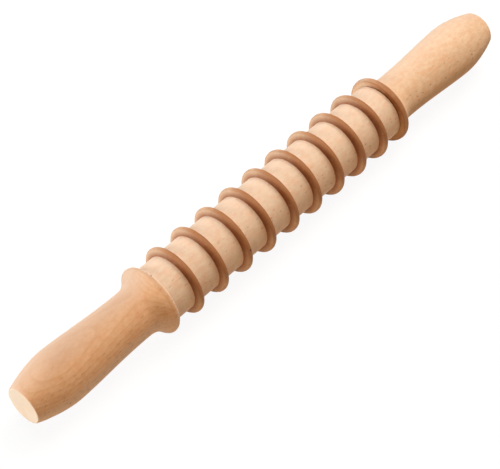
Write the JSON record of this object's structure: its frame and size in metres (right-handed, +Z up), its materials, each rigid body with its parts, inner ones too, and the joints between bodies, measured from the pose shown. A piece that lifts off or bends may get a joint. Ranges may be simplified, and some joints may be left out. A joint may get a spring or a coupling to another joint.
{
  "type": "pasta cutter rolling pin",
  "caption": "Beech rolling pin that cuts pasta dough into wide strips: a barrel with raised cutting rings turns on an axle between two swelling handles with bell shaped collars.",
  "frame": {"origin": "middle of the pin, on the axis that the barrel turns about", "axes": "+X along the pin from the left handle to the right handle, +Z up with the pin lying on its rings, +Y away from the side that the left handle's end face is seen from"},
  "size_m": [0.32, 0.0364, 0.0364],
  "materials": {
    "beech_barrel": "sanded beech, unvarnished, satin",
    "beech_handle": "sanded beech, unvarnished, satin",
    "bright_steel": "drawn bright bar",
    "white_nylon": "turned nylon, natural white"
  },
  "bodies": {
    "held_handles": {"left_handle": "beech_handle", "right_handle": "beech_handle", "axle_rod": "bright_steel", "left_thrust_washer": "bright_steel", "right_thrust_washer": "bright_steel"},
    "turning_barrel": {"cutter_barrel": "beech_barrel", "left_bush": "white_nylon", "right_bush": "white_nylon"}
  },
  "joints": [
    {"name": "barrel_spin", "type": "hinge", "parent": "held_handles", "child": "turning_barrel", "pos_m": [0, 0, 0], "axis": [1, 0, 0], "continuous": true}
  ]
}
